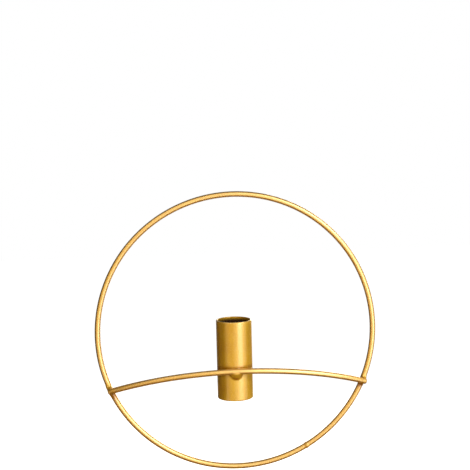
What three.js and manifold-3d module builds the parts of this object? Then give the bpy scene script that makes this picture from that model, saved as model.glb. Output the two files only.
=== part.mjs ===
// Wall planter: a hoop of round rod, a bowed cross bar welded to its front, and a small closed tube
// behind the bar.
// Millimetres. +X is to the viewer's right, +Y goes into the wall and +Z is up.
// The origin is the hook's seat, at the inside top of the hoop.

import * as THREE from "three";
import { mergeVertices } from "three/addons/utils/BufferGeometryUtils.js";
import Module from "manifold-3d";

// Driving dimensions of the rods and the tube
const HOOP_OUTER_DIAMETER = 200;
const HOOP_ROD_DIAMETER = 4;
const BAR_ROD_DIAMETER = 4;
const BAR_ENDS_BELOW_HOOP_CENTRE = 38.4;
const BAR_RISE = 15.6;
const BAR_LEFT_PAST_HOOP_LINE = 1.6;
const BAR_RIGHT_PAST_HOOP_LINE = 2.2;
const BAR_END_CROWN = 0.8;
const BAR_END_SHOULDER = 0.2;
const TUBE_OUTER_DIAMETER = 25;
const TUBE_WALL = 1.2;
const TUBE_LENGTH = 55.5;
const TUBE_RIM_ABOVE_HOOP_CENTRE = 11;
const TUBE_LEFT_OF_BAR_MIDDLE = 2.5;
const TUBE_EDGE_RADIUS = 0.5;
const TUBE_TO_WALL = 1;
const FLOOR_THICKNESS = 1.5;

// Driving dimensions of the welds
const HOOP_SEAM_DEGREES = -60;
const HOOP_WELD_ROOT = 0.8;
const HOOP_WELD_WIDTH = 3.4;
const HOOP_WELD_CROWN = 0.25;
const BAR_WELD_REACH = 0.7;
const BAR_WELD_DEPTH = 4.4;
const TUBE_WELD_WIDTH = 10.4;
const TUBE_WELD_DROP = 3.6;
const TUBE_WELD_DEPTH = 3.2;
const FLOOR_WELD_LEG = 1.1;
const FLOOR_WELD_ABOVE_RIM = 0.4;

// Air between two pieces that are welded together
const SEAT_GAP = 0.3;

// Fineness of the round surfaces
const ROD_SIDES = 16;
const HOOP_STEPS = 120;
const BAR_STEPS = 48;
const TUBE_SEGMENTS = 48;
const EDGE_STEPS = 4;
const WELD_SEGMENTS = 28;
const WELD_RINGS = 18;
const CROWN_RINGS = 8;

const hoopRod = HOOP_ROD_DIAMETER / 2;
const barRod = BAR_ROD_DIAMETER / 2;
const tubeRadius = TUBE_OUTER_DIAMETER / 2;
const tubeBore = tubeRadius - TUBE_WALL;
const hoopRadius = HOOP_OUTER_DIAMETER / 2 - hoopRod;
const hoopCentre = new THREE.Vector3(0, 0, hoopRod - hoopRadius);
const xAxis = new THREE.Vector3(1, 0, 0);
const yAxis = new THREE.Vector3(0, 1, 0);
const zAxis = new THREE.Vector3(0, 0, 1);

// The tube stands clear of the wall that the hoop's back lies on, a little to the left of the bar's middle,
// and the bar passes in front of it.
const wallY = hoopRod;
const tubeX = -TUBE_LEFT_OF_BAR_MIDDLE;
const tubeY = wallY - TUBE_TO_WALL - tubeRadius;
const tubeBottomZ = hoopCentre.z + TUBE_RIM_ABOVE_HOOP_CENTRE - TUBE_LENGTH;
const barMiddleY = tubeY - tubeRadius - SEAT_GAP - barRod;
const barEndX = Math.sqrt(hoopRadius ** 2 - BAR_ENDS_BELOW_HOOP_CENTRE ** 2);
const barEndZ = hoopCentre.z - BAR_ENDS_BELOW_HOOP_CENTRE;
const barMiddleZ = barEndZ + BAR_RISE;
const floorUnderside = FLOOR_WELD_ABOVE_RIM + FLOOR_WELD_LEG + SEAT_GAP;
const hoopRootGap = HOOP_WELD_ROOT + 2 * SEAT_GAP;
const seamAngle = THREE.MathUtils.degToRad(HOOP_SEAM_DEGREES);

const wasm = await Module();
wasm.setup();

// A closed geometry as a solid for joining and cutting.
function solidFrom(geometry) {
  const bare = new THREE.BufferGeometry();
  bare.setAttribute("position", geometry.getAttribute("position"));
  bare.setIndex(geometry.index);
  const merged = mergeVertices(bare, 1e-4);
  return new wasm.Manifold(
    new wasm.Mesh({
      numProp: 3,
      vertProperties: merged.getAttribute("position").array,
      triVerts: new Uint32Array(merged.index.array),
    }),
  );
}

function geometryFrom(solid) {
  const mesh = solid.getMesh();
  const geometry = new THREE.BufferGeometry();
  geometry.setAttribute("position", new THREE.BufferAttribute(mesh.vertProperties, 3));
  geometry.setIndex(new THREE.BufferAttribute(mesh.triVerts, 1));
  geometry.computeVertexNormals();
  return geometry;
}

// A circular arc in the plane of two unit directions, from one angle to another.
class RodArc extends THREE.Curve {
  constructor(centre, across, upward, radius, start, end) {
    super();
    Object.assign(this, { centre, across, upward, radius, start, end });
  }

  getPoint(t, target = new THREE.Vector3()) {
    const angle = this.start + t * (this.end - this.start);
    return target
      .copy(this.centre)
      .addScaledVector(this.across, this.radius * Math.cos(angle))
      .addScaledVector(this.upward, this.radius * Math.sin(angle));
  }
}

function rodAlong(path, radius, steps) {
  const section = new THREE.Shape().absarc(0, 0, radius, 0, 2 * Math.PI);
  return new THREE.ExtrudeGeometry(section, {
    extrudePath: path,
    steps,
    curveSegments: ROD_SIDES / 2,
  });
}

// A profile of radius and height turned about the Z axis.
function turned(profile, segments) {
  return new THREE.LatheGeometry(profile, segments).rotateX(Math.PI / 2);
}

// An ellipsoid with its half sizes along three directions at right angles to each other.
function ellipsoid(centre, directions, halfSizes, segments, rings) {
  const place = new THREE.Matrix4().makeBasis(...directions).setPosition(centre);
  return new THREE.SphereGeometry(1, segments, rings).scale(...halfSizes).applyMatrix4(place);
}

// The hoop's centre line runs once round from the seam, short of a full turn by the root gap.
function hoopPath() {
  const start = seamAngle + hoopRootGap / 2 / hoopRadius;
  const end = seamAngle + 2 * Math.PI - hoopRootGap / 2 / hoopRadius;
  return new RodArc(hoopCentre, xAxis, zAxis, hoopRadius, start, end);
}

// The hoop's direction where one end of the bar crosses it, on the side given by +1 or -1.
function hoopTangentAtBar(side) {
  return new THREE.Vector3(BAR_ENDS_BELOW_HOOP_CENTRE, 0, side * barEndX).normalize();
}

// The bar bows forward and upward in one inclined plane. Its stand-off from the hoop depends on its
// slope where it crosses the hoop, and the slope on the stand-off, so a few rounds settle both.
function barLayout() {
  const standOff = hoopRod + SEAT_GAP + barRod;
  const rounds = 8;
  let crossingY = -standOff;
  let layout;
  for (let round = 0; round < rounds; round += 1) {
    const bow = new THREE.Vector3(0, barMiddleY - crossingY, BAR_RISE);
    const sagitta = bow.length();
    const outward = bow.clone().normalize();
    const halfAngle = 2 * Math.atan(sagitta / barEndX);
    const slope = xAxis.clone().multiplyScalar(Math.cos(halfAngle));
    slope.addScaledVector(outward, -Math.sin(halfAngle));
    const common = hoopTangentAtBar(1).cross(slope).normalize();
    layout = { crossingY, outward, halfAngle, radius: barEndX / Math.sin(halfAngle) };
    crossingY = -standOff / Math.abs(common.y);
  }
  return layout;
}

const bar = barLayout();

// The bar's centre line, longer than the bar from tip to tip by an extra length at each end.
function barPath(extra) {
  const middle = new THREE.Vector3(0, barMiddleY, barMiddleZ);
  const centre = middle.addScaledVector(bar.outward, -bar.radius);
  const left = bar.halfAngle + (BAR_LEFT_PAST_HOOP_LINE + extra) / bar.radius;
  const right = bar.halfAngle + (BAR_RIGHT_PAST_HOOP_LINE + extra) / bar.radius;
  return new RodArc(centre, bar.outward, xAxis, bar.radius, -left, right);
}

// The room that a weld leaves for the bar and its tips.
function barRoom() {
  return solidFrom(rodAlong(barPath(SEAT_GAP), barRod + SEAT_GAP, BAR_STEPS));
}

function hoopGeometry() {
  return rodAlong(hoopPath(), hoopRod, HOOP_STEPS);
}

// A plug in the root gap under a crowned bead that stands proud of the rod all round.
function hoopWeldGeometry() {
  const plug = HOOP_WELD_ROOT / 2;
  const inner = hoopRod + SEAT_GAP;
  const half = plug + HOOP_WELD_WIDTH / 2;
  const crown = new THREE.EllipseCurve(inner, 0, HOOP_WELD_CROWN, half, -Math.PI / 2, Math.PI / 2);
  const profile = [
    new THREE.Vector2(0, -plug),
    new THREE.Vector2(inner, -plug),
    ...crown.getPoints(2 * EDGE_STEPS),
    new THREE.Vector2(inner, plug),
    new THREE.Vector2(0, plug),
  ];
  return turned(profile, ROD_SIDES);
}

// The bar's sheared ends have a low crown.
function barGeometry() {
  const path = barPath(-BAR_END_CROWN);
  const crownRadius = barRod - BAR_END_SHOULDER;
  const halfSizes = [crownRadius, BAR_END_CROWN, crownRadius];
  const crownAt = (t) => {
    const along = path.getTangent(t);
    const sideways = new THREE.Vector3().crossVectors(yAxis, along).normalize();
    const directions = [sideways, along, new THREE.Vector3().crossVectors(sideways, along)];
    return solidFrom(ellipsoid(path.getPoint(t), directions, halfSizes, ROD_SIDES, CROWN_RINGS));
  };
  const rod = solidFrom(rodAlong(path, barRod, BAR_STEPS));
  return geometryFrom(rod.add(crownAt(0)).add(crownAt(1)));
}

// The weld fills the crotch where the bar crosses the hoop's front: a lens cut to both rods. It reaches
// a little past the hoop's outer side or the bar's tip, whichever lies further out.
function barWeldGeometry(side, tipPastHoopLine) {
  const tangent = hoopTangentAtBar(side);
  const radial = new THREE.Vector3().crossVectors(yAxis, tangent);
  const between = (bar.crossingY + barRod - hoopRod) / 2;
  const inward = Math.SQRT2 * (hoopRod + SEAT_GAP) + BAR_WELD_REACH;
  const outward = Math.max(hoopRod, tipPastHoopLine) + BAR_WELD_REACH;
  const centre = new THREE.Vector3(side * barEndX, between, barEndZ);
  centre.addScaledVector(radial, (outward - inward) / 2);
  const halfSizes = [
    (outward + inward) / 2,
    BAR_WELD_DEPTH / 2,
    Math.SQRT2 * (barRod + SEAT_GAP) + BAR_WELD_REACH,
  ];
  const lens = ellipsoid(centre, [radial, yAxis, tangent], halfSizes, WELD_SEGMENTS, WELD_RINGS);
  const hoopCut = solidFrom(rodAlong(hoopPath(), hoopRod + SEAT_GAP, HOOP_STEPS));
  return geometryFrom(solidFrom(lens).subtract(hoopCut).subtract(barRoom()));
}

// The tube is a plain sleeve with all four edges rounded.
function tubeGeometry() {
  const round = Math.min(TUBE_EDGE_RADIUS, 0.45 * TUBE_WALL);
  const inner = tubeBore + round;
  const outer = tubeRadius - round;
  const top = TUBE_LENGTH - round;
  const quarter = Math.PI / 2;
  const profile = new THREE.Path()
    .absarc(outer, round, round, -quarter, 0)
    .absarc(outer, top, round, 0, quarter)
    .absarc(inner, top, round, quarter, 2 * quarter)
    .absarc(inner, round, round, 2 * quarter, 3 * quarter)
    .closePath();
  return turned(profile.getPoints(EDGE_STEPS / 2), TUBE_SEGMENTS);
}

// The floor is a separate disc let into the lower end of the tube.
function floorGeometry() {
  const radius = tubeBore - SEAT_GAP;
  const profile = [
    new THREE.Vector2(0, floorUnderside),
    new THREE.Vector2(radius, floorUnderside),
    new THREE.Vector2(radius, floorUnderside + FLOOR_THICKNESS),
    new THREE.Vector2(0, floorUnderside + FLOOR_THICKNESS),
  ];
  return turned(profile, TUBE_SEGMENTS);
}

// A quarter-round bead runs round the corner under the floor.
function floorWeldGeometry() {
  const outer = tubeBore - SEAT_GAP;
  const top = floorUnderside - SEAT_GAP;
  const profile = new THREE.Path()
    .absarc(outer, top, FLOOR_WELD_LEG, Math.PI, 1.5 * Math.PI)
    .lineTo(outer, top)
    .closePath();
  return turned(profile.getPoints(EDGE_STEPS / 2), TUBE_SEGMENTS);
}

// The nugget between the bar and the tube's front bulges out below the bar.
function tubeWeldGeometry() {
  const halfHeight = (barRod + TUBE_WELD_DROP) / 2;
  const centre = new THREE.Vector3(tubeX, tubeY - tubeRadius, barMiddleZ - halfHeight);
  const halfSizes = [TUBE_WELD_WIDTH / 2, TUBE_WELD_DEPTH, halfHeight];
  const lens = ellipsoid(centre, [xAxis, yAxis, zAxis], halfSizes, WELD_SEGMENTS, WELD_RINGS);
  const tubeCut = new THREE.CylinderGeometry(
    tubeRadius + SEAT_GAP,
    tubeRadius + SEAT_GAP,
    2 * TUBE_LENGTH,
    TUBE_SEGMENTS,
  )
    .rotateX(Math.PI / 2)
    .translate(tubeX, tubeY, barMiddleZ);
  return geometryFrom(solidFrom(lens).subtract(solidFrom(tubeCut)).subtract(barRoom()));
}

// Satin gold paint over mild steel, a little rougher on the beads than on the drawn rod and tube.
function piece(name, geometry, roughness) {
  const paint = new THREE.MeshStandardMaterial({ color: 0xd9a441, roughness, metalness: 0.8 });
  const mesh = new THREE.Mesh(geometry, paint);
  mesh.name = name;
  return mesh;
}

const SMOOTH = 0.38;
const BEAD = 0.5;

const hoopWeld = piece("hoop_weld", hoopWeldGeometry(), BEAD);
hoopWeld.position.set(hoopRadius * Math.cos(seamAngle), 0, hoopRadius * Math.sin(seamAngle)).add(hoopCentre);
hoopWeld.rotation.y = -seamAngle;

const flowerTube = new THREE.Group();
flowerTube.position.set(tubeX, tubeY, tubeBottomZ);
flowerTube.add(
  piece("flower_tube", tubeGeometry(), SMOOTH),
  piece("tube_floor", floorGeometry(), SMOOTH),
  piece("floor_weld", floorWeldGeometry(), BEAD),
);

const planter = new THREE.Group();
planter.add(
  piece("hoop", hoopGeometry(), SMOOTH),
  hoopWeld,
  piece("cross_bar", barGeometry(), SMOOTH),
  piece("bar_weld_left", barWeldGeometry(-1, BAR_LEFT_PAST_HOOP_LINE), BEAD),
  piece("bar_weld_right", barWeldGeometry(1, BAR_RIGHT_PAST_HOOP_LINE), BEAD),
  flowerTube,
  piece("tube_weld", tubeWeldGeometry(), BEAD),
);

export default planter;
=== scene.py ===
"""A gold-painted steel wall planter: a hoop, a bowed bar across its front and a tube behind the bar.

Metres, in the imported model's frame: +X is to the viewer's right, +Y goes into the wall and +Z is up.
The origin is the hook's seat at the inside top of the hoop.
"""

import math
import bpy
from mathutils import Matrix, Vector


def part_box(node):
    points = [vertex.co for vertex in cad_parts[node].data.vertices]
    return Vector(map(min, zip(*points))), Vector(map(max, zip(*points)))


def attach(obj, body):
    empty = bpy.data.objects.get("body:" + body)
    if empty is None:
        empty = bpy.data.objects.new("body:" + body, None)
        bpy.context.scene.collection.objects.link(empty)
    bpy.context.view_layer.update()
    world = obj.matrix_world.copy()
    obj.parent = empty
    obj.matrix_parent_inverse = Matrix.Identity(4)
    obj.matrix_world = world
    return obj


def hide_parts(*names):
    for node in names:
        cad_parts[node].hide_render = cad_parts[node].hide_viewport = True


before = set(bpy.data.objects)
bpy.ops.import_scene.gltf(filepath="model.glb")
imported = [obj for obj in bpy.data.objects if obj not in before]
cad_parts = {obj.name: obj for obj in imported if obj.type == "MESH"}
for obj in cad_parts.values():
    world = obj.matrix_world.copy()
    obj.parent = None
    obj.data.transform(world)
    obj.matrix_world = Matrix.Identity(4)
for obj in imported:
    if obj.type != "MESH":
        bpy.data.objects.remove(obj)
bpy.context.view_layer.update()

from types import SimpleNamespace

import bpy
import numpy as np
from mathutils import Matrix, Vector

bl_info = {
    "name": "Gold wall planter",
    "version": (1, 0, 0),
    "blender": (4, 5, 0),
    "location": "View3D > Sidebar > Planter",
    "description": "Builds a welded wall planter in satin gold paint, piece by piece",
    "category": "Mesh",
}

MM = 0.001
X_AXIS = np.array([1.0, 0.0, 0.0])
Y_AXIS = np.array([0.0, 1.0, 0.0])
Z_AXIS = np.array([0.0, 0.0, 1.0])
WHITE = (1.0, 1.0, 1.0)

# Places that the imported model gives
HOOP_LOW, HOOP_HIGH = (np.array(corner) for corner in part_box("hoop"))
BAR_LOW, BAR_HIGH = (np.array(corner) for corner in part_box("cross_bar"))
TUBE_LOW, TUBE_HIGH = (np.array(corner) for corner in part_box("flower_tube"))
DISC_LOW, DISC_HIGH = (np.array(corner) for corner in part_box("tube_floor"))
HOOP_CENTRE = (HOOP_LOW + HOOP_HIGH) / 2
TUBE_AXIS = (TUBE_LOW + TUBE_HIGH) / 2

# Fineness of the surfaces
HOOP_STEPS = 960
BAR_STEPS = 420
ROD_SIDES = 36
CAP_STEPS = 10
TUBE_SIDES = 256
LIP_STEPS = 10
WALL_STEPS = 72
BEAD_STEPS = 48
BEAD_SIDES = 20
SKIN_ROWS = 110
SKIN_SIDES = 150
SKIN_SAMPLES = 120
HALVINGS = 24
LAYOUT_ROUNDS = 8

# Photograph's camera, found from the hoop's and the tube's outlines
IMAGE_WIDTH_PX = 470
FOCAL_LENGTH_PX = 1136.3
SENSOR_WIDTH_MM = 36.0
CAMERA_DISTANCE = 0.800
CAMERA_AZIMUTH = math.radians(-4.52)
CAMERA_ELEVATION = math.radians(6.26)
CAMERA_ROLL = math.radians(-1.37)
CAMERA_TARGET = np.array([0.74, 0.0, -26.92]) * MM

# Softboxes: azimuth from the front, elevation, and width and height in metres
LAMP_DISTANCE = 1.6
KEY_SOFTBOX = (math.radians(34), math.radians(-5), 0.9, 0.45)
UPPER_SOFTBOX = (math.radians(46), math.radians(30), 1.2, 0.45)
FRONT_SOFTBOX = (math.radians(-25), math.radians(16), 1.0, 0.9)
REAR_SOFTBOX = (math.radians(156), math.radians(6), 0.8, 0.7)

# Cards that the paint mirrors: name, colour, and two opposite corners in metres
CARDS = (
    ("left card", "#272727", (-0.5, -0.29, -0.55), (-0.5, 0.8, 0.35)),
    ("right card", "#9C8559", (0.5, -0.13, -0.55), (0.5, 0.8, 0.35)),
    ("rear card", "#959595", (-0.5, 0.8, -0.55), (0.05, 0.8, 0.35)),
    ("lower card", "#7A5418", (-0.5, -0.6, -0.45), (0.5, 0.5, -0.45)),
    ("upper card", "#272727", (-0.5, -0.1, 0.25), (0.5, 0.5, 0.25)),
    ("front card", "#EDDCAA", (-1.7, -1.0, -0.7), (-0.1, -1.0, 0.5)),
)

# Floor: half its width in metres, the distances between which it fades to white, and its glow near by
FLOOR_HALF = 4.0
FLOOR_FADE_FROM, FLOOR_FADE_TO = 0.5, 1.0
FLOOR_NEAR_GLOW = 0.35


def linear(hex_colour):
    """The linear red, green and blue of an sRGB hex colour."""
    srgb = np.array([int(hex_colour[i : i + 2], 16) for i in (1, 3, 5)]) / 255
    curved = ((srgb + 0.055) / 1.055) ** 2.4
    return tuple(float(part) for part in np.where(srgb <= 0.04045, srgb / 12.92, curved))


# Kinds of property


def length(name, description, default):
    return bpy.props.FloatProperty(
        name=name, description=description, default=float(default), min=0.0, precision=5, unit="LENGTH"
    )


def angle(name, description, default):
    return bpy.props.FloatProperty(name=name, description=description, default=default, subtype="ANGLE")


def colour(name, description, hex_colour):
    default = linear(hex_colour)
    return bpy.props.FloatVectorProperty(
        name=name, description=description, default=default, min=0.0, max=1.0, size=3, subtype="COLOR"
    )


def factor(name, description, default):
    return bpy.props.FloatProperty(
        name=name, description=description, default=default, min=0.0, max=1.0, subtype="FACTOR"
    )


def ratio(name, description, default):
    return bpy.props.FloatProperty(name=name, description=description, default=default, min=1.0)


def power(name, description, default):
    return bpy.props.FloatProperty(
        name=name, description=description, default=default, min=0.0, unit="POWER"
    )


class PlanterSizes(bpy.types.PropertyGroup):
    """Sizes of the rods, the tube and the welds."""

    hoop_diameter: length("Hoop", "Outside diameter of the hoop", HOOP_HIGH[0] - HOOP_LOW[0])
    hoop_rod: length("Hoop rod", "Diameter of the hoop's rod", HOOP_HIGH[1] - HOOP_LOW[1])
    bar_rod: length("Bar rod", "Diameter of the bar's rod", 4.0 * MM)
    bar_drop: length("Bar drop", "How far below the hoop's centre the bar crosses it", 38.4 * MM)
    left_tip: length("Left tip", "How far the left tip lies past the hoop's centre line", 1.6 * MM)
    right_tip: length("Right tip", "How far the right tip lies past the hoop's centre line", 2.2 * MM)
    bar_crown: length("Bar crown", "How far the bar's rounded ends bulge", 0.8 * MM)
    tube_diameter: length("Tube", "Outside diameter of the tube", TUBE_HIGH[0] - TUBE_LOW[0])
    tube_wall: length("Tube wall", "Thickness of the tube's wall", 1.2 * MM)
    lip_outside: length("Outer lip", "Radius of the tube's outer edges", 0.7 * MM)
    lip_inside: length("Inner lip", "Radius of the tube's inner edges", 0.35 * MM)
    seat_gap: length("Seat gap", "Air between two pieces that are welded together", 0.3 * MM)
    seam_angle: angle("Seam", "Where the hoop's seam lies, from +X towards +Z", math.radians(-60))
    seam_width: length("Seam width", "Width of the bead over the hoop's seam", 4.2 * MM)
    seam_crown: length("Seam crown", "Height of the bead over the hoop's seam", 0.32 * MM)
    left_fillet: length("Left fillet", "Size of the fillet at the bar's left end", 4.6 * MM)
    right_fillet: length("Right fillet", "Size of the fillet at the bar's right end", 3.6 * MM)
    nugget_width: length("Nugget width", "Width of the weld under the bar's middle", 9.4 * MM)
    nugget_drop: length("Nugget drop", "How far that weld reaches below the bar", 3.4 * MM)
    nugget_depth: length("Nugget depth", "How far that weld stands out from the tube", 4.1 * MM)
    floor_bead: length("Floor bead", "Leg of the bead under the tube's floor", 1.3 * MM)


class PlanterFinish(bpy.types.PropertyGroup):
    """Colours and gloss of the paint."""

    gold: colour("Gold", "Colour of the paint where it lies evenly", "#D0A41E")
    deep_gold: colour("Deep gold", "Colour of the paint where it lies thick", "#C6961A")
    # A paler copy of the gold on the rods: painted sheen
    rod_sheen_gold: colour("Rod gold", "Colour of the paint on the rods", "#E0B04C")
    pale_gold: colour("Pale gold", "Colour of the flakes and of rubbed edges", "#F0CE78")
    # Colour of the heat tint at the seam and of the painted shade about the joints and along the bar
    brown_and_shade: colour("Brown", "Colour of thin paint over heated steel, beside the welds", "#8C4A08")
    # Colour of the painted shade in the bore, together with its overspray
    bore: colour("Bore", "Colour of the overspray inside the tube", "#2E1B08")
    roughness: factor("Roughness", "Roughness of the paint on rod and tube", 0.42)
    metallic: factor("Metallic", "How much of the paint is metal flake", 0.55)
    rod_flake: factor("Rod flake", "How much more metal flake the paint on the rods shows", 0.45)
    coat: factor("Binder", "How much clear binder lies over the flakes", 1.0)
    coat_roughness: factor("Binder roughness", "Roughness of the clear binder's skin", 0.25)
    coat_ior: ratio("Binder index", "Refractive index of the clear binder", 1.7)
    rod_coat_roughness: factor("Rod binder roughness", "Roughness of the skin on the rods", 0.35)
    rod_coat_ior: ratio("Rod binder index", "Refractive index of the pearly binder on the rods", 2.1)


class PlanterStage(bpy.types.PropertyGroup):
    """Floor and light round the planter."""

    floor_drop: length("Floor drop", "How far the floor lies below the hoop", 350 * MM)
    floor_colour: colour("Floor", "Colour of the floor", "#F2F2F0")
    key_power: power("Key light", "Power of the soft light to the right", 6.7)
    upper_power: power("Upper light", "Power of the wide soft light above it", 18.5)
    front_power: power("Front light", "Power of the broad warm light in front", 10.8)
    front_colour: colour("Front colour", "Colour of the light in front", "#FADC9C")
    rear_power: power("Rear light", "Power of the soft light behind", 14.0)
    rear_colour: colour("Rear colour", "Colour of the light behind", "#FFE6C4")
    room_level: factor("Room light", "Level of the light from all round", 0.03)


def sizes():
    return bpy.context.scene.planter_sizes


def finish():
    return bpy.context.scene.planter_finish


# Shapes


def unit(vector):
    return vector / np.linalg.norm(vector)


def full_turn(sides):
    """Angles all the way round, without the last one, which would repeat the first."""
    return np.linspace(0, 2 * math.pi, sides, endpoint=False)


def quarter_turn(steps):
    return np.linspace(0, math.pi / 2, steps)


def smooth_min(first, second, width):
    """The lesser of two fields, rounded by a parabola where they differ by less than the width."""
    share = np.maximum(width - np.abs(first - second), 0.0) / width
    return np.minimum(first, second) - share**2 * width / 4


def smooth_max(first, second, width):
    return -smooth_min(-first, -second, width)


def swell(values, low, high):
    """A smooth rise from 0 at low to 1 at high."""
    share = np.clip((values - low) / (high - low), 0.0, 1.0)
    return share * share * (3 - 2 * share)


def closed_mesh(name, rings, poles):
    """A closed mesh from a grid of points, in which each row is a ring.

    Quads join each ring to the next. With two poles a fan closes each end, and without them the last
    ring joins the first. The faces are turned over if they enclose a negative volume. The marks of
    making and use, and of painted shade and sheen, are kept as attributes of the vertices.
    """
    steps, sides = rings.shape[:2]
    here = np.arange(steps * sides).reshape(steps, sides)
    beside = np.roll(here, -1, axis=1)
    points = rings.reshape(-1, 3)
    if poles is None:
        corners = (here, beside, np.roll(beside, -1, axis=0), np.roll(here, -1, axis=0))
        fans = np.zeros((0, 3), int)
    else:
        corners = (here[:-1], beside[:-1], beside[1:], here[1:])
        points = np.vstack([points, *poles])
        start = np.full(sides, steps * sides)
        first_fan = np.stack([start, beside[0], here[0]], axis=1)
        last_fan = np.stack([start + 1, here[-1], beside[-1]], axis=1)
        fans = np.vstack([first_fan, last_fan])
    quads = np.stack(corners, axis=-1).reshape(-1, 4)
    triangles = points[np.vstack([quads[:, [0, 1, 2]], quads[:, [0, 2, 3]], fans])]
    volume = np.einsum("ij,ij->", triangles[:, 0], np.cross(triangles[:, 1], triangles[:, 2]))
    turn = 1 if volume > 0 else -1
    mesh = bpy.data.meshes.new(name)
    mesh.from_pydata(points.tolist(), [], quads[:, ::turn].tolist() + fans[:, ::turn].tolist())
    mesh.shade_smooth()
    for mark, value_at in MARKS:
        attribute = mesh.attributes.new(mark, "FLOAT", "POINT")
        attribute.data.foreach_set("value", value_at(points).astype(np.float32))
    if mesh.validate():
        raise RuntimeError(f"{name} has faces that can't be used")
    return mesh


def add_object(name, data):
    """Adds an object to the scene, in place of an earlier one of that name."""
    earlier = bpy.data.objects.get(name)
    if earlier:
        bpy.data.objects.remove(earlier)
    added = bpy.data.objects.new(name, data)
    bpy.context.scene.collection.objects.link(added)
    return added


def show_piece(name, rings, poles, material, node):
    """Puts a piece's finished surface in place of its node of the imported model."""
    mesh = closed_mesh(name, rings, poles)
    mesh.materials.append(material)
    piece = add_object(name, mesh)
    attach(piece, "root")
    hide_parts(node)


def arc_radials(arc, angles):
    return np.outer(np.cos(angles), arc.first) + np.outer(np.sin(angles), arc.second)


def arc_rod(arc, start, end, rod, crown, steps):
    """A round rod carried along a circular arc, with rounded ends.

    At the angle a the middle of the section is centre + radius (first cos a + second sin a). The
    section's ring lies in the plane of that radial direction and the arc's axis. Past each end the
    section shrinks as the cosine while the angle runs on as the sine of a quarter turn, which makes
    half an ellipsoid.
    """
    quarter = quarter_turn(CAP_STEPS + 1)[1:-1]
    reach = crown / arc.radius
    before = start - reach * np.sin(quarter[::-1])
    after = end + reach * np.sin(quarter)
    angles = np.concatenate([before, np.linspace(start, end, steps), after])
    radii = rod * np.concatenate([np.cos(quarter[::-1]), np.ones(steps), np.cos(quarter)])
    turn = full_turn(ROD_SIDES)
    axis = np.cross(arc.first, arc.second)
    radial = arc_radials(arc, angles)
    across = np.einsum("j,ik->ijk", np.cos(turn), radial) + np.outer(np.sin(turn), axis)
    rings = (arc.centre + arc.radius * radial)[:, None, :] + radii[:, None, None] * across
    tips = np.array([start - reach, end + reach])
    poles = arc.centre + arc.radius * arc_radials(arc, tips)
    return rings, poles


def turned(radii, heights, sides):
    """A profile of radius and height turned about the tube's axis.

    Each row of the two is a ring. A row is one value, or a value for each side.
    """
    turn = full_turn(sides)
    radii = np.reshape(radii, (len(radii), -1))
    rings = np.empty((len(radii), sides, 3))
    rings[..., 0] = TUBE_AXIS[0] + radii * np.cos(turn)
    rings[..., 1] = TUBE_AXIS[1] + radii * np.sin(turn)
    rings[..., 2] = np.reshape(heights, (len(heights), -1))
    return rings


def skin_round(centre, pole, field, reach):
    """A closed skin round a point.

    Along each direction of a grid of latitudes and longitudes the skin lies at the first distance at
    which the field turns positive. Samples along the ray find the step in which that happens, and
    halving narrows it down.
    """
    first = unit(np.cross(pole, X_AXIS + Z_AXIS))
    second = np.cross(pole, first)
    latitude = np.linspace(0, math.pi, SKIN_ROWS + 2)[1:-1]
    longitude = full_turn(SKIN_SIDES)
    level = np.outer(np.cos(longitude), first) + np.outer(np.sin(longitude), second)
    grid = np.cos(latitude)[:, None, None] * pole + np.sin(latitude)[:, None, None] * level
    directions = np.vstack([grid.reshape(-1, 3), pole, -pole])
    samples = np.linspace(0, reach, SKIN_SAMPLES)
    outside = field(centre + directions[:, None, :] * samples[:, None]) > 0
    if outside[:, 0].any() or not outside[:, -1].all():
        raise RuntimeError("a weld's skin doesn't close round its middle")
    after = outside.argmax(axis=1)
    low, high = samples[after - 1], samples[after]
    for _ in range(HALVINGS):
        middle = (low + high) / 2
        beyond = field(centre + directions * middle[:, None]) > 0
        low, high = np.where(beyond, low, middle), np.where(beyond, middle, high)
    points = centre + directions * high[:, None]
    return points[:-2].reshape(SKIN_ROWS, SKIN_SIDES, 3), points[-2:]


# Layout of the rods


def hoop_arc():
    radius = (sizes().hoop_diameter - sizes().hoop_rod) / 2
    return SimpleNamespace(centre=HOOP_CENTRE, first=X_AXIS, second=Z_AXIS, radius=radius)


def bar_arc():
    """The bar's centre line is an arc through its middle and its two crossings with the hoop.

    At a crossing the two rods stand apart by their radii and the seat gap, measured square to both, so
    the stand-off depends on the arc's slope there. A few rounds settle the two.
    """
    hoop_rod, bar_rod = sizes().hoop_rod / 2, sizes().bar_rod / 2
    drop = sizes().bar_drop
    crossing = np.array([math.sqrt(hoop_arc().radius ** 2 - drop**2), 0.0, HOOP_CENTRE[2] - drop])
    middle = np.array([0.0, BAR_LOW[1] + bar_rod, BAR_HIGH[2] - bar_rod])
    along_hoop = unit(np.array([drop, 0.0, crossing[0]]))
    stand_off = hoop_rod + sizes().seat_gap + bar_rod
    crossing[1] = -stand_off
    for _ in range(LAYOUT_ROUNDS):
        bow = middle - crossing
        sagitta = math.hypot(bow[1], bow[2])
        outward = np.array([0.0, bow[1], bow[2]]) / sagitta
        half_angle = 2 * math.atan(sagitta / crossing[0])
        slope = X_AXIS * math.cos(half_angle) - outward * math.sin(half_angle)
        square_to_both = unit(np.cross(along_hoop, slope))
        crossing[1] = -stand_off / abs(square_to_both[1])
    radius = crossing[0] / math.sin(half_angle)
    return SimpleNamespace(
        centre=middle - outward * radius,
        first=outward,
        second=X_AXIS,
        radius=radius,
        middle=middle,
        crossing=crossing,
        left_end=half_angle + (sizes().left_tip - sizes().bar_crown) / radius,
        right_end=half_angle + (sizes().right_tip - sizes().bar_crown) / radius,
    )


def seam_point():
    arc = hoop_arc()
    seam = sizes().seam_angle
    return arc.centre + arc.radius * (X_AXIS * math.cos(seam) + Z_AXIS * math.sin(seam))


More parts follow.
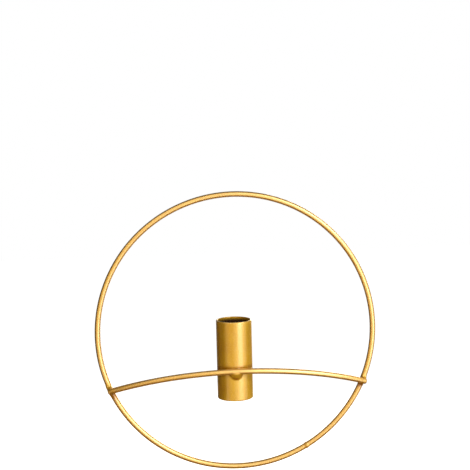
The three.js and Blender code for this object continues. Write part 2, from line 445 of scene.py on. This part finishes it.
def bar_joint(side):
    """The middle of the gap between the bar and the hoop, on the side given by +1 or -1."""
    crossing = bar_arc().crossing * np.array([side, 1.0, 1.0])
    crossing[1] = (crossing[1] + (sizes().bar_rod - sizes().hoop_rod) / 2) / 2
    return crossing


def tube_joint():
    """The foremost line of the tube, at the height of the bar."""
    return np.array([TUBE_AXIS[0], TUBE_AXIS[1] - sizes().tube_diameter / 2, bar_arc().middle[2]])


def distance_to_hoop(points):
    local = points - HOOP_CENTRE
    reach = np.hypot(local[..., 0], local[..., 2]) - hoop_arc().radius
    return np.hypot(reach, local[..., 1]) - sizes().hoop_rod / 2


def distance_to_bar(points):
    """Distance to the bar's rod, which its rounded ends cut short."""
    arc = bar_arc()
    local = points - arc.centre
    out = local @ arc.first
    across = local @ arc.second
    reach = np.hypot(out, across) - arc.radius
    rod = np.hypot(reach, local @ np.cross(arc.first, arc.second)) - sizes().bar_rod / 2
    turn = np.arctan2(across, out)
    past_end = arc.radius * np.maximum(turn - arc.right_end, -turn - arc.left_end) - sizes().bar_crown
    return smooth_max(rod, past_end, 2 * sizes().bar_crown)


def distance_from_tube_axis(points):
    return np.hypot(points[..., 0] - TUBE_AXIS[0], points[..., 1] - TUBE_AXIS[1])


# Marks of making and use, and of painted shade and sheen, as functions of place

# Spots of painted shade about the bar's ends and under the nugget, and of heat tint at the seam:
# offset from the joint in mm, strength, and reach in mm
LEFT_SHADE_SPOTS = (((1.8, 0.0, -3.6), 0.65, 4.4), ((7.0, 0.0, 1.6), 0.35, 5.0))
RIGHT_SHADE_SPOTS = (((-2.0, 0.0, -2.8), 0.95, 2.8),)
NUGGET_SHADE_SPOTS = (
    ((0.0, 0.0, -5.4), 1.0, 2.2),
    ((-4.4, 0.0, -2.4), 0.7, 1.6),
    ((4.4, 0.0, -2.4), 0.7, 1.6),
)
SEAM_SPOTS = (((0.0, 0.0, 0.0), 0.25, 3.0),)

# Painted shadow of the bar on the tube, which is also where the bar kept off the spray: its strength,
# and how far it fades out above and below the bar
PAINTED_SHADOW_STRENGTH = 0.55
PAINTED_SHADOW_FADE = 1.1 * MM

# Distances off a surface over which a mark on it starts or ends
OFF_TUBE_FROM, OFF_TUBE_TO = 0.01 * MM, 0.2 * MM
OFF_RODS_FROM, OFF_RODS_TO = 0.3 * MM, 0.6 * MM

# Share of the paler rod gold, a painted sheen, on the rods
ROD_SHARE = 0.75

# Rubbed lips: how deep the edge lies as a share of the lip, the reach, and the strengths
RUBBED_INSET = 0.3
RUBBED_REACH = 0.55 * MM
UPPER_RUBBED, LOWER_RUBBED = 0.35, 0.2

# Depths below the upper lip between which painted shade and overspray darken the bore
BORE_FROM, BORE_TO = 0.2 * MM, 2.6 * MM


def heat_tint_and_painted_shade(points):
    """Heat tint and painted shade: soft spots of painted shade about the joints, a faint heat tint at
    the hoop's seam, and a band of painted shadow on the tube along the bar, where the bar also kept off
    the spray.

    The band is strongest level with the bar and fades out above and below it. The spots of the weld
    under the bar stay off the tube's own wall.
    """
    arc = bar_arc()
    turn = np.arcsin(np.clip(points[..., 0] / arc.radius, -1.0, 1.0))
    bar_height = arc.centre[2] + arc.radius * arc.first[2] * np.cos(turn)
    past_bar = np.maximum(np.abs(points[..., 2] - bar_height) - sizes().bar_rod / 2, 0.0)
    from_tube = distance_from_tube_axis(points) - sizes().tube_diameter / 2
    off_tube = swell(from_tube, OFF_TUBE_FROM, OFF_TUBE_TO)
    in_front = points[..., 1] < TUBE_AXIS[1]
    # The band of painted shadow along the bar, on the tube's front
    total = PAINTED_SHADOW_STRENGTH * in_front * (1 - off_tube) * np.exp(-((past_bar / PAINTED_SHADOW_FADE) ** 2))
    joints = (
        (bar_joint(-1), LEFT_SHADE_SPOTS, 1.0),
        (bar_joint(1), RIGHT_SHADE_SPOTS, 1.0),
        (tube_joint(), NUGGET_SHADE_SPOTS, off_tube),
        (seam_point(), SEAM_SPOTS, 1.0),
    )
    for joint, spots, share in joints:
        for offset, strength, reach in spots:
            from_spot = points - (joint + MM * np.array(offset))
            total += share * strength * np.exp(-np.sum(from_spot**2, axis=-1) / (reach * MM) ** 2)
    return np.clip(total, 0.0, 1.0)


def rod_sheen_marks(points):
    """The rods' painted sheen, paler gold and more flake: a share on them that ends just off them."""
    off_rods = np.minimum(distance_to_hoop(points), distance_to_bar(points))
    return ROD_SHARE * (1 - swell(off_rods, OFF_RODS_FROM, OFF_RODS_TO))


def rubbed_marks(points):
    """Rubbed paint on the tube's outer lips, more on the upper one."""
    inset = RUBBED_INSET * sizes().lip_outside
    off_edge = distance_from_tube_axis(points) - (sizes().tube_diameter / 2 - inset)
    total = np.zeros(points.shape[:-1])
    for height, strength in ((TUBE_HIGH[2] - inset, UPPER_RUBBED), (TUBE_LOW[2] + inset, LOWER_RUBBED)):
        total += strength * np.exp(-(off_edge**2 + (points[..., 2] - height) ** 2) / RUBBED_REACH**2)
    return np.clip(total, 0.0, 1.0)


def bore_overspray_and_shade(points):
    """Painted shade and overspray inside the tube, from 0 at the lip to 1 further down, and over the
    disc's upper face.
    """
    middle_of_wall = (sizes().tube_diameter - sizes().tube_wall) / 2
    inside = distance_from_tube_axis(points) < middle_of_wall
    depth = swell(TUBE_HIGH[2] - points[..., 2], BORE_FROM, BORE_TO)
    above_disc = swell(points[..., 2], DISC_LOW[2], DISC_HIGH[2])
    return np.where(inside, depth * above_disc, 0.0)


# The marks: painted sheen on the rods, heat tint and painted shade, rubbed lips, and painted shade in
# the bore
MARKS = (("rod", rod_sheen_marks), ("brown_and_shade", heat_tint_and_painted_shade), ("rubbed", rubbed_marks), ("bore", bore_overspray_and_shade))


# Materials

# Sockets of a Mix node that mixes colours
MIX_FACTOR, MIX_FIRST, MIX_SECOND, MIX_RESULT = 0, 6, 7, 2

# Real flakes are finer than 0.05 mm. They are drawn larger, so that some of them show.
FLAKE_SIZE = 0.45 * MM

# Patches of uneven cover, cells of the orange peel and their heights, and the welds' extra roughness
PATCH_SIZE = 14 * MM
PEEL_SIZE = 1.3 * MM
SMOOTH_PEEL, WELD_PEEL = 0.02 * MM, 0.05 * MM
WELD_DULLNESS = 0.06


def add_node(tree, kind, inputs=None, **settings):
    """Adds a node. An input that is a socket is linked, and any other is set."""
    node = tree.nodes.new(kind)
    for setting, value in settings.items():
        setattr(node, setting, value)
    for name, value in (inputs or {}).items():
        socket = node.inputs[name]
        if isinstance(value, bpy.types.NodeSocket):
            tree.links.new(value, socket)
        else:
            socket.default_value = value
    return node


def empty_tree(owner):
    """The emptied node tree of a material or a world."""
    owner.use_nodes = True
    owner.node_tree.nodes.clear()
    return owner.node_tree


def material_named(name):
    return bpy.data.materials.get(name) or bpy.data.materials.new(name)


def rgba(values):
    return (*values, 1.0)


def gold_paint(name, roughness, peel_height, coat_roughness, coat_ior):
    """Satin gold spray paint: metal flakes in a clear binder.

    The eye sees a broad soft highlight, slightly uneven cover, a faint sparkle of flakes and a fine
    orange peel. Painted shade darkens the joints and the bore, and a painted sheen makes the rods paler.
    """
    look = finish()
    material = material_named(name)
    tree = empty_tree(material)
    place = add_node(tree, "ShaderNodeTexCoord").outputs["Object"]
    rod, brown_and_shade, rubbed, bore = (
        add_node(tree, "ShaderNodeAttribute", attribute_name=mark).outputs["Fac"] for mark, _ in MARKS
    )
    # The spray covers unevenly, in soft patches.
    patches = {"Vector": place, "Scale": 1 / PATCH_SIZE, "Detail": 3.0, "Roughness": 0.55}
    cover = add_node(tree, "ShaderNodeTexNoise", patches).outputs["Fac"]
    even = add_node(tree, "ShaderNodeMapRange", {"Value": cover, "From Min": 0.35, "From Max": 0.65})
    flakes = add_node(tree, "ShaderNodeTexVoronoi", {"Vector": place, "Scale": 1 / FLAKE_SIZE})
    spark = {"Value": flakes.outputs["Color"], "From Min": 0.6, "From Max": 0.95, "To Max": 0.18}
    sparkle = add_node(tree, "ShaderNodeMapRange", spark)

    tone = rgba(look.deep_gold)
    layers = (
        (even.outputs["Result"], look.gold),
        # a paler gold on the rods, painted sheen
        (rod, look.rod_sheen_gold),
        (sparkle.outputs["Result"], look.pale_gold),
        # painted shade about the joints and along the bar, and heat tint at the seam
        (brown_and_shade, look.brown_and_shade),
        (rubbed, look.pale_gold),
        # painted shade and overspray in the bore
        (bore, look.bore),
    )
    for share, shade in layers:
        mixed = {MIX_FACTOR: share, MIX_FIRST: tone, MIX_SECOND: rgba(shade)}
        tone = add_node(tree, "ShaderNodeMix", mixed, data_type="RGBA").outputs[MIX_RESULT]

    # Even cover, heat tint and painted shade, and the bore's overspray and painted shade are duller, and
    # rubbed edges are glossier.
    dullness = roughness
    for share, weight in ((cover, 0.08), (brown_and_shade, 0.12), (rubbed, -0.06), (bore, 0.3)):
        raised = {0: share, 1: weight, 2: dullness}
        dullness = add_node(tree, "ShaderNodeMath", raised, operation="MULTIPLY_ADD").outputs[0]

    more_flake = {0: rod, 1: look.rod_flake, 2: look.metallic}
    flake = add_node(tree, "ShaderNodeMath", more_flake, operation="MULTIPLY_ADD").outputs[0]

    cells = {"Vector": place, "Scale": 1 / PEEL_SIZE, "Detail": 2.0}
    peel = add_node(tree, "ShaderNodeTexNoise", cells).outputs["Fac"]
    bump = add_node(tree, "ShaderNodeBump", {"Height": peel, "Distance": peel_height, "Strength": 1.0})
    # The binder's skin is the only white gloss, so the paint below it has no specular layer of its own.
    paint = {
        "Base Color": tone,
        "Metallic": flake,
        "Roughness": dullness,
        "Specular IOR Level": 0.0,
        "Coat IOR": coat_ior,
        "Coat Weight": look.coat,
        "Coat Roughness": coat_roughness,
        "Normal": bump.outputs["Normal"],
    }
    surface = add_node(tree, "ShaderNodeBsdfPrincipled", paint)
    add_node(tree, "ShaderNodeOutputMaterial", {"Surface": surface.outputs["BSDF"]})
    return material


def paint_on_tube():
    """On the drawn tube the paint lies smooth."""
    look = finish()
    name = "satin gold spray paint on drawn tube"
    return gold_paint(name, look.roughness, SMOOTH_PEEL, look.coat_roughness, look.coat_ior)


def paint_on_rods():
    """On the thin rods the same paint has a paler and softer sheen."""
    look = finish()
    name = "satin gold spray paint on drawn rod"
    return gold_paint(name, look.roughness, SMOOTH_PEEL, look.rod_coat_roughness, look.rod_coat_ior)


def paint_on_welds():
    """On a weld's rough skin the same paint is duller and grainier."""
    look = finish()
    name = "satin gold spray paint on weld beads"
    dull = look.roughness + WELD_DULLNESS
    return gold_paint(name, dull, WELD_PEEL, look.coat_roughness, look.coat_ior)


def backdrop_rays(tree):
    """1 for rays that show the backdrop or its mirror image, and 0 for rays that light the planter."""
    path = add_node(tree, "ShaderNodeLightPath").outputs
    seen = path["Is Camera Ray"]
    for ray in ("Is Glossy Ray", "Is Transmission Ray"):
        seen = add_node(tree, "ShaderNodeMath", {0: seen, 1: path[ray]}, operation="MAXIMUM").outputs[0]
    return seen


def pale_floor():
    """Matt white paper: it takes the planter's soft shadow near by and fades to white further off."""
    stage = bpy.context.scene.planter_stage
    material = material_named("matt white paper")
    tree = empty_tree(material)
    place = add_node(tree, "ShaderNodeTexCoord").outputs["Object"]
    far = add_node(tree, "ShaderNodeVectorMath", {0: place}, operation="LENGTH").outputs["Value"]
    fade = {
        "Value": far,
        "From Min": FLOOR_FADE_FROM,
        "From Max": FLOOR_FADE_TO,
        "To Min": FLOOR_NEAR_GLOW,
    }
    level = add_node(tree, "ShaderNodeMapRange", fade).outputs["Result"]
    glow = add_node(tree, "ShaderNodeMath", {0: level, 1: backdrop_rays(tree)}, operation="MULTIPLY")
    paper = add_node(tree, "ShaderNodeBsdfDiffuse", {"Color": rgba(stage.floor_colour)})
    white = add_node(tree, "ShaderNodeEmission", {"Strength": glow.outputs[0]})
    both = add_node(tree, "ShaderNodeAddShader", {0: paper.outputs[0], 1: white.outputs[0]})
    add_node(tree, "ShaderNodeOutputMaterial", {"Surface": both.outputs[0]})
    return material


def card_material(name, hex_colour):
    """Matt card of an even colour, which only the paint's gloss shows."""
    material = material_named(f"matt {name}")
    tree = empty_tree(material)
    card = add_node(tree, "ShaderNodeEmission", {"Color": rgba(linear(hex_colour)), "Strength": 1.0})
    add_node(tree, "ShaderNodeOutputMaterial", {"Surface": card.outputs[0]})
    return material


# Operators


class PLANTER_OT_add_hoop(bpy.types.Operator):
    """Bend the hoop from one length of rod, from its seam round to its seam"""

    bl_idname = "planter.add_hoop"
    bl_label = "Hoop"

    def execute(self, context):
        arc = hoop_arc()
        half_gap = sizes().seat_gap / arc.radius
        start = sizes().seam_angle + half_gap
        end = sizes().seam_angle + 2 * math.pi - half_gap
        rings, poles = arc_rod(arc, start, end, sizes().hoop_rod / 2, sizes().seat_gap / 2, HOOP_STEPS)
        show_piece("painted_hoop", rings, poles, paint_on_rods(), "hoop")
        return {"FINISHED"}


# Seam bead: lumps round the rod by share of the crown, waves and phase, and ripples along it
SEAM_LUMPS = ((0.18, 3, 0.7), (0.12, 7, 2.1))
SEAM_RIPPLE = 0.15
SEAM_RIPPLE_LENGTH = 0.9 * MM
SEAM_SINK = 0.03 * MM

# Share of the crown that is dressed off at the back, and where that starts and is reached
DRESSED_OFF = 0.75
DRESSED_FROM, DRESSED_TO = 0.1, 0.8


class PLANTER_OT_add_seam_bead(bpy.types.Operator):
    """Lay the low bead that closes the hoop's seam"""

    bl_idname = "planter.add_seam_bead"
    bl_label = "Seam bead"

    def execute(self, context):
        """The bead's radius is the rod's plus a crown that falls off as a squared cosine to both toes.

        The crown swells and sinks a little round the rod, is dressed down at the back and dips under
        at the toes.
        """
        seam = sizes().seam_angle
        radial = X_AXIS * math.cos(seam) + Z_AXIS * math.sin(seam)
        along = Z_AXIS * math.cos(seam) - X_AXIS * math.sin(seam)
        turn = full_turn(2 * ROD_SIDES)
        half = sizes().seam_width / 2
        place = half * np.sin(np.linspace(-math.pi / 2, math.pi / 2, BEAD_STEPS))
        crown = np.cos(math.pi / 2 * place / half) ** 2
        lumps = 1 + sum(share * np.sin(waves * turn + phase) for share, waves, phase in SEAM_LUMPS)
        dressed = 1 - DRESSED_OFF * swell(np.sin(turn), DRESSED_FROM, DRESSED_TO)
        ripple = 1 + SEAM_RIPPLE * np.cos(2 * math.pi * place / SEAM_RIPPLE_LENGTH)
        height = sizes().seam_crown * np.outer(crown * ripple, lumps * dressed) - SEAM_SINK
        around = np.outer(np.cos(turn), radial) + np.outer(np.sin(turn), Y_AXIS)
        rings = seam_point() + np.outer(place, along)[:, None, :]
        rings = rings + (sizes().hoop_rod / 2 + height)[..., None] * around
        poles = seam_point() + np.outer(place[[0, -1]], along)
        show_piece("hoop_seam_bead", rings, poles, paint_on_welds(), "hoop_weld")
        return {"FINISHED"}


class PLANTER_OT_add_bar(bpy.types.Operator):
    """Bow the cross bar forward and up in one inclined plane"""

    bl_idname = "planter.add_bar"
    bl_label = "Cross bar"

    def execute(self, context):
        arc = bar_arc()
        rod = sizes().bar_rod / 2
        rings, poles = arc_rod(arc, -arc.left_end, arc.right_end, rod, sizes().bar_crown, BAR_STEPS)
        show_piece("painted_cross_bar", rings, poles, paint_on_rods(), "cross_bar")
        return {"FINISHED"}


# Depth of the welds' skins under the surfaces that they run out on
SKIN_SINK = 0.02 * MM

# Bar fillets: the ball that limits them and the length of the search, in sizes of the fillet
FILLET_LIMIT = 1.9
FILLET_SEARCH = 2.2

# Share of the limit at which a fillet's toes start to sink, and how far they sink
FILLET_TOE = 0.7
FILLET_TOE_SINK = 0.5 * MM

# Ripples along the bar, and lumps by radians to the metre across and up
FILLET_RIPPLE = 0.05 * MM
FILLET_RIPPLE_LENGTH = 0.95 * MM
FILLET_LUMP = 0.08 * MM
LUMP_ACROSS, LUMP_UP, LUMP_PHASE = 0.9 / MM, 1.1 / MM, 0.6
LUMP_FADE = 0.6 * MM


def bar_fillet_field(centre, along_bar, fillet):
    """Negative inside the fillet: the rounded, rippled union of the rods in a ball about the joint.

    Towards the ball the skin sinks into the rods, so its toes run out smoothly. The ripples and lumps
    fade out deep inside the rods.
    """
    limit = FILLET_LIMIT * fillet

    def field(points):
        hoop = distance_to_hoop(points)
        bar = distance_to_bar(points)
        local = points - centre
        out = np.linalg.norm(local, axis=-1) / limit
        ripple = FILLET_RIPPLE * np.sin(2 * math.pi * (local @ along_bar) / FILLET_RIPPLE_LENGTH)
        up, across = LUMP_UP * local[..., 2], LUMP_ACROSS * local[..., 0]
        lump = FILLET_LUMP * np.sin(up + LUMP_PHASE) * np.sin(across)
        off_core = np.minimum(hoop, bar) + fillet / 4
        raised = (ripple + lump) * swell(off_core, 0.0, LUMP_FADE)
        sunk = SKIN_SINK + FILLET_TOE_SINK * swell(out, FILLET_TOE, 1.0)
        skin = smooth_min(hoop, bar, fillet) - raised + sunk
        return np.maximum(skin, (out - 1) * limit)

    return field


class PLANTER_OT_add_bar_fillets(bpy.types.Operator):
    """Fill the crotches where the bar crosses the hoop, left and right"""

    bl_idname = "planter.add_bar_fillets"
    bl_label = "Bar fillets"

    def execute(self, context):
        arc = bar_arc()
        ends = (
            ("left", -1, arc.left_end, sizes().left_fillet),
            ("right", 1, arc.right_end, sizes().right_fillet),
        )
        for word, side, end, fillet in ends:
            along_bar = X_AXIS * math.cos(side * end) - arc.first * math.sin(side * end)
            centre = bar_joint(side)
            field = bar_fillet_field(centre, along_bar, fillet)
            rings, poles = skin_round(centre, Y_AXIS, field, FILLET_SEARCH * fillet)
            name, node = f"{word}_bar_fillet", f"bar_weld_{word}"
            show_piece(name, rings, poles, paint_on_welds(), node)
        return {"FINISHED"}


class PLANTER_OT_add_tube(bpy.types.Operator):
    """Turn the tube with rounded lips at both ends"""

    bl_idname = "planter.add_tube"
    bl_label = "Tube"

    def execute(self, context):
        """The profile runs up the outside, over the upper lip, down the inside and round the lower."""
        outer = sizes().tube_diameter / 2
        inner = outer - sizes().tube_wall
        bottom, top = TUBE_LOW[2], TUBE_HIGH[2]
        outside, inside = sizes().lip_outside, sizes().lip_inside
        sine, cosine = np.sin(quarter_turn(LIP_STEPS)), np.cos(quarter_turn(LIP_STEPS))
        wall = np.linspace(0, 1, WALL_STEPS)[1:-1]
        radii = [
            np.full(len(wall), outer),
            outer - outside * (1 - cosine),
            inner + inside * (1 - sine),
            np.full(len(wall), inner),
            inner + inside * (1 - cosine),
            outer - outside * (1 - sine),
        ]
        heights = [
            bottom + outside + wall * (top - bottom - 2 * outside),
            top - outside * (1 - sine),
            top - inside * (1 - cosine),
            top - inside - wall * (top - bottom - 2 * inside),
            bottom + inside * (1 - sine),
            bottom + outside * (1 - cosine),
        ]
        rings = turned(np.concatenate(radii), np.concatenate(heights), TUBE_SIDES)
        show_piece("painted_tube", rings, None, paint_on_tube(), "flower_tube")
        return {"FINISHED"}


# Floor disc: its gap to the bore, the radius of its edges, and where the first ring lies on its faces
DISC_GAP = 0.05 * MM
DISC_EDGE = 0.3 * MM
DISC_FIRST_RING = 0.04

# Floor bead, in legs: the section's radius and how far its middle lies inside the bore
BEAD_SECTION = 0.9
BEAD_INSET = 0.05

# Ripples of the floor bead: number, height and lean, and a slow swelling by height, waves and phase
BEAD_RIPPLES = 44
BEAD_RIPPLE = 0.05
BEAD_LEAN = 0.5
BEAD_SWELLING, BEAD_WAVES, BEAD_PHASE = 0.04, 3, 0.4


class PLANTER_OT_add_floor(bpy.types.Operator):
    """Set the disc in the tube's lower end and lay the bead round it"""

    bl_idname = "planter.add_floor"
    bl_label = "Tube floor"

    def execute(self, context):
        bore = sizes().tube_diameter / 2 - sizes().tube_wall
        self.add_disc(bore)
        self.add_bead(bore)
        return {"FINISHED"}

    def add_disc(self, bore):
        """The profile runs out along the underside, round the edge and back along the upper face."""
        edge = bore - DISC_GAP
        low, high = DISC_LOW[2], DISC_HIGH[2]
        sine, cosine = np.sin(quarter_turn(LIP_STEPS)), np.cos(quarter_turn(LIP_STEPS))
        face = np.linspace(DISC_FIRST_RING, 1, BEAD_SIDES)[:-1] * (edge - DISC_EDGE)
        radii = [face, edge - DISC_EDGE * (1 - sine), edge - DISC_EDGE * (1 - cosine), face[::-1]]
        heights = [
            np.full(len(face), low),
            low + DISC_EDGE * (1 - cosine),
            high - DISC_EDGE * (1 - sine),
            np.full(len(face), high),
        ]
        rings = turned(np.concatenate(radii), np.concatenate(heights), TUBE_SIDES)
        poles = np.array([[TUBE_AXIS[0], TUBE_AXIS[1], height] for height in (low, high)])
        show_piece("tube_floor_disc", rings, poles, paint_on_tube(), "tube_floor")

    def add_bead(self, bore):
        """A round section in the corner under the disc, carried round the bore.

        Its radius rises and falls round the bore in ripples that lean one way, as a bead laid in steps
        does.
        """
        leg = sizes().floor_bead
        turn = full_turn(2 * TUBE_SIDES)
        section = full_turn(BEAD_SIDES)
        step = BEAD_RIPPLES * turn
        ripple = BEAD_RIPPLE * np.sin(step + BEAD_LEAN * np.sin(step))
        swelling = BEAD_SWELLING * np.sin(BEAD_WAVES * turn + BEAD_PHASE)
        radius = BEAD_SECTION * leg * (1 + ripple + swelling)
        radii = bore - BEAD_INSET * leg + np.outer(np.cos(section), radius)
        heights = DISC_LOW[2] + np.outer(np.sin(section), radius)
        rings = turned(radii, heights, len(turn))
        show_piece("floor_bead", rings, None, paint_on_welds(), "floor_weld")


# Nugget: its middle from the tube's joint, the half axes of the egg that limits it, and the search
NUGGET_MIDDLE = np.array([0.0, -0.4, -1.6]) * MM
NUGGET_LIMIT = np.array([7.5, 5.5, 8.5]) * MM
NUGGET_SEARCH = 10 * MM

# Share of the limit at which the nugget's toes start to sink, and how far they sink
NUGGET_TOE = 0.65
NUGGET_TOE_SINK = 0.4 * MM

NUGGET_RIPPLE = 0.05 * MM
NUGGET_RIPPLE_LENGTH = 0.9 * MM

# Roundings between the bar and the tube, of the egg into both, at its flat top and at its front
BAR_TO_TUBE = 1.0 * MM
EGG_TO_BOTH = 1.6 * MM
EGG_TOP = 1.0 * MM
NUGGET_FRONT = 0.4 * MM

# How far the nugget stays behind the bar, and the share of the tube's wall that it may sink into
BEHIND_BAR = 0.05 * MM
WALL_SHARE = 0.6


def nugget_field(centre):
    """Negative inside the weld between the bar and the tube.

    It is the rounded union of the bar, the tube's front and half an egg that hangs from the bar's
    middle, rippled as the puddle sets, within a larger egg. Towards that limit the skin sinks into bar
    and tube. It stays out of the tube's bore and behind the bar's foremost line.
    """
    hung_from = tube_joint()
    egg_height = sizes().bar_rod / 2 + sizes().nugget_drop
    egg = np.array([sizes().nugget_width / 2, sizes().nugget_depth, egg_height])
    tube_radius = sizes().tube_diameter / 2
    into_wall = tube_radius - WALL_SHARE * sizes().tube_wall

    def field(points):
        bar = distance_to_bar(points)
        from_axis = distance_from_tube_axis(points)
        local = points - hung_from
        round_egg = np.linalg.norm(local / egg, axis=-1)
        drop = smooth_max((round_egg - 1) * egg.min(), local[..., 2], EGG_TOP)
        ripple = NUGGET_RIPPLE * np.sin(2 * math.pi * round_egg * egg_height / NUGGET_RIPPLE_LENGTH)
        joined = smooth_min(bar, from_axis - tube_radius, BAR_TO_TUBE)
        joined = smooth_min(joined, drop - ripple, EGG_TO_BOTH)
        out = np.linalg.norm((points - centre) / NUGGET_LIMIT, axis=-1)
        skin = joined + SKIN_SINK + NUGGET_TOE_SINK * swell(out, NUGGET_TOE, 1.0)
        skin = smooth_max(skin, BAR_LOW[1] + BEHIND_BAR - points[..., 1], NUGGET_FRONT)
        return np.maximum(np.maximum(skin, (out - 1) * NUGGET_LIMIT.min()), into_wall - from_axis)

    return field


class PLANTER_OT_add_nugget(bpy.types.Operator):
    """Weld the tube to the bar, with the nugget that shows under the bar"""

    bl_idname = "planter.add_nugget"
    bl_label = "Tube weld"

    def execute(self, context):
        centre = tube_joint() + NUGGET_MIDDLE
        rings, poles = skin_round(centre, Y_AXIS, nugget_field(centre), NUGGET_SEARCH)
        show_piece("tube_nugget", rings, poles, paint_on_welds(), "tube_weld")
        return {"FINISHED"}


def direction(azimuth, elevation):
    """From the planter towards a place, by its azimuth from the front and its elevation."""
    level = math.cos(elevation)
    return Vector((math.sin(azimuth) * level, -math.cos(azimuth) * level, math.sin(elevation)))


class PLANTER_OT_add_stage(bpy.types.Operator):
    """Set the floor, the light and the photograph's camera"""

    bl_idname = "planter.add_stage"
    bl_label = "Stage"

    def execute(self, context):
        context.scene.view_settings.view_transform = "Standard"
        self.add_floor(context)
        self.add_room(context)
        self.add_lamps(context)
        self.add_cards()
        self.add_camera(context)
        return {"FINISHED"}

    def add_floor(self, context):
        level = HOOP_LOW[2] - context.scene.planter_stage.floor_drop
        signs = ((-1, -1), (1, -1), (1, 1), (-1, 1))
        corners = [(x * FLOOR_HALF, y * FLOOR_HALF, level) for x, y in signs]
        mesh = bpy.data.meshes.new("floor")
        mesh.from_pydata(corners, [], [(0, 1, 2, 3)])
        mesh.materials.append(pale_floor())
        floor = add_object("floor", mesh)

    def add_room(self, context):
        """Even white light from all round, faint on the planter and full white where it is seen."""
        world = bpy.data.worlds.get("white room") or bpy.data.worlds.new("white room")
        tree = empty_tree(world)
        level = {"Value": backdrop_rays(tree), "To Min": context.scene.planter_stage.room_level}
        strength = add_node(tree, "ShaderNodeMapRange", level).outputs["Result"]
        room = add_node(tree, "ShaderNodeBackground", {"Color": rgba(WHITE), "Strength": strength})
        add_node(tree, "ShaderNodeOutputWorld", {"Surface": room.outputs[0]})
        context.scene.world = world

    def add_lamps(self, context):
        """Two white softboxes to the right, the wider one higher, and warm ones in front and behind."""
        stage = context.scene.planter_stage
        softboxes = (
            ("key softbox", KEY_SOFTBOX, stage.key_power, WHITE),
            ("upper softbox", UPPER_SOFTBOX, stage.upper_power, WHITE),
            ("front softbox", FRONT_SOFTBOX, stage.front_power, stage.front_colour),
            ("rear softbox", REAR_SOFTBOX, stage.rear_power, stage.rear_colour),
        )
        for name, (azimuth, elevation, width, height), watts, tint in softboxes:
            lamp = bpy.data.lights.new(name, "AREA")
            lamp.shape = "RECTANGLE"
            lamp.size = width
            lamp.size_y = height
            lamp.energy = watts
            lamp.color = tint
            softbox = add_object(name, lamp)
            softbox.visible_camera = False
            towards = direction(azimuth, elevation)
            softbox.location = Vector(HOOP_CENTRE) + LAMP_DISTANCE * towards
            softbox.rotation_euler = towards.to_track_quat("Z", "Y").to_euler()

    def add_cards(self):
        """Plain cards round the planter, which only the paint's gloss shows."""
        for name, hex_colour, low, high in CARDS:
            across = 0 if low[0] < high[0] else 1
            corners = np.array([low, low, high, high])
            corners[1, across] = high[across]
            corners[3, across] = low[across]
            mesh = bpy.data.meshes.new(name)
            mesh.from_pydata(corners.tolist(), [], [(0, 1, 2, 3)])
            mesh.materials.append(card_material(name, hex_colour))
            card = add_object(name, mesh)
            card.visible_camera = False
            card.visible_diffuse = False
            card.visible_shadow = False
            card.visible_transmission = False

    def add_camera(self, context):
        lens = bpy.data.cameras.new("camera")
        lens.sensor_width = SENSOR_WIDTH_MM
        lens.lens = FOCAL_LENGTH_PX * SENSOR_WIDTH_MM / IMAGE_WIDTH_PX
        camera = add_object("camera", lens)
        back = direction(CAMERA_AZIMUTH, CAMERA_ELEVATION)
        right = Vector((math.cos(CAMERA_AZIMUTH), math.sin(CAMERA_AZIMUTH), 0.0))
        up = back.cross(right)
        columns = Matrix((right, up, back)).transposed()
        camera.matrix_world = Matrix.LocRotScale(
            Vector(CAMERA_TARGET) + CAMERA_DISTANCE * back,
            (columns @ Matrix.Rotation(CAMERA_ROLL, 3, "Z")).to_quaternion(),
            None,
        )
        context.scene.camera = camera


class PLANTER_PT_sidebar(bpy.types.Panel):
    """Lists the planter's pieces, sizes, finish and stage"""

    bl_idname = "PLANTER_PT_sidebar"
    bl_label = "Gold wall planter"
    bl_space_type = "VIEW_3D"
    bl_region_type = "UI"
    bl_category = "Planter"

    def draw(self, context):
        for operator in OPERATORS:
            self.layout.operator(operator.bl_idname)
        scene = context.scene
        for group in (scene.planter_sizes, scene.planter_finish, scene.planter_stage):
            box = self.layout.box()
            for name in group.bl_rna.properties.keys():
                if name not in ("rna_type", "name"):
                    box.prop(group, name)


OPERATORS = (
    PLANTER_OT_add_hoop,
    PLANTER_OT_add_seam_bead,
    PLANTER_OT_add_bar,
    PLANTER_OT_add_bar_fillets,
    PLANTER_OT_add_tube,
    PLANTER_OT_add_floor,
    PLANTER_OT_add_nugget,
    PLANTER_OT_add_stage,
)
CLASSES = (PlanterSizes, PlanterFinish, PlanterStage, *OPERATORS, PLANTER_PT_sidebar)


def register():
    for each in CLASSES:
        bpy.utils.register_class(each)
    bpy.types.Scene.planter_sizes = bpy.props.PointerProperty(type=PlanterSizes)
    bpy.types.Scene.planter_finish = bpy.props.PointerProperty(type=PlanterFinish)
    bpy.types.Scene.planter_stage = bpy.props.PointerProperty(type=PlanterStage)


def unregister():
    del bpy.types.Scene.planter_stage
    del bpy.types.Scene.planter_finish
    del bpy.types.Scene.planter_sizes
    for each in reversed(CLASSES):
        bpy.utils.unregister_class(each)


def main():
    register()
    bpy.ops.planter.add_hoop()
    bpy.ops.planter.add_seam_bead()
    bpy.ops.planter.add_bar()
    bpy.ops.planter.add_bar_fillets()
    bpy.ops.planter.add_tube()
    bpy.ops.planter.add_floor()
    bpy.ops.planter.add_nugget()
    bpy.ops.planter.add_stage()


if __name__ == "__main__":
    main()
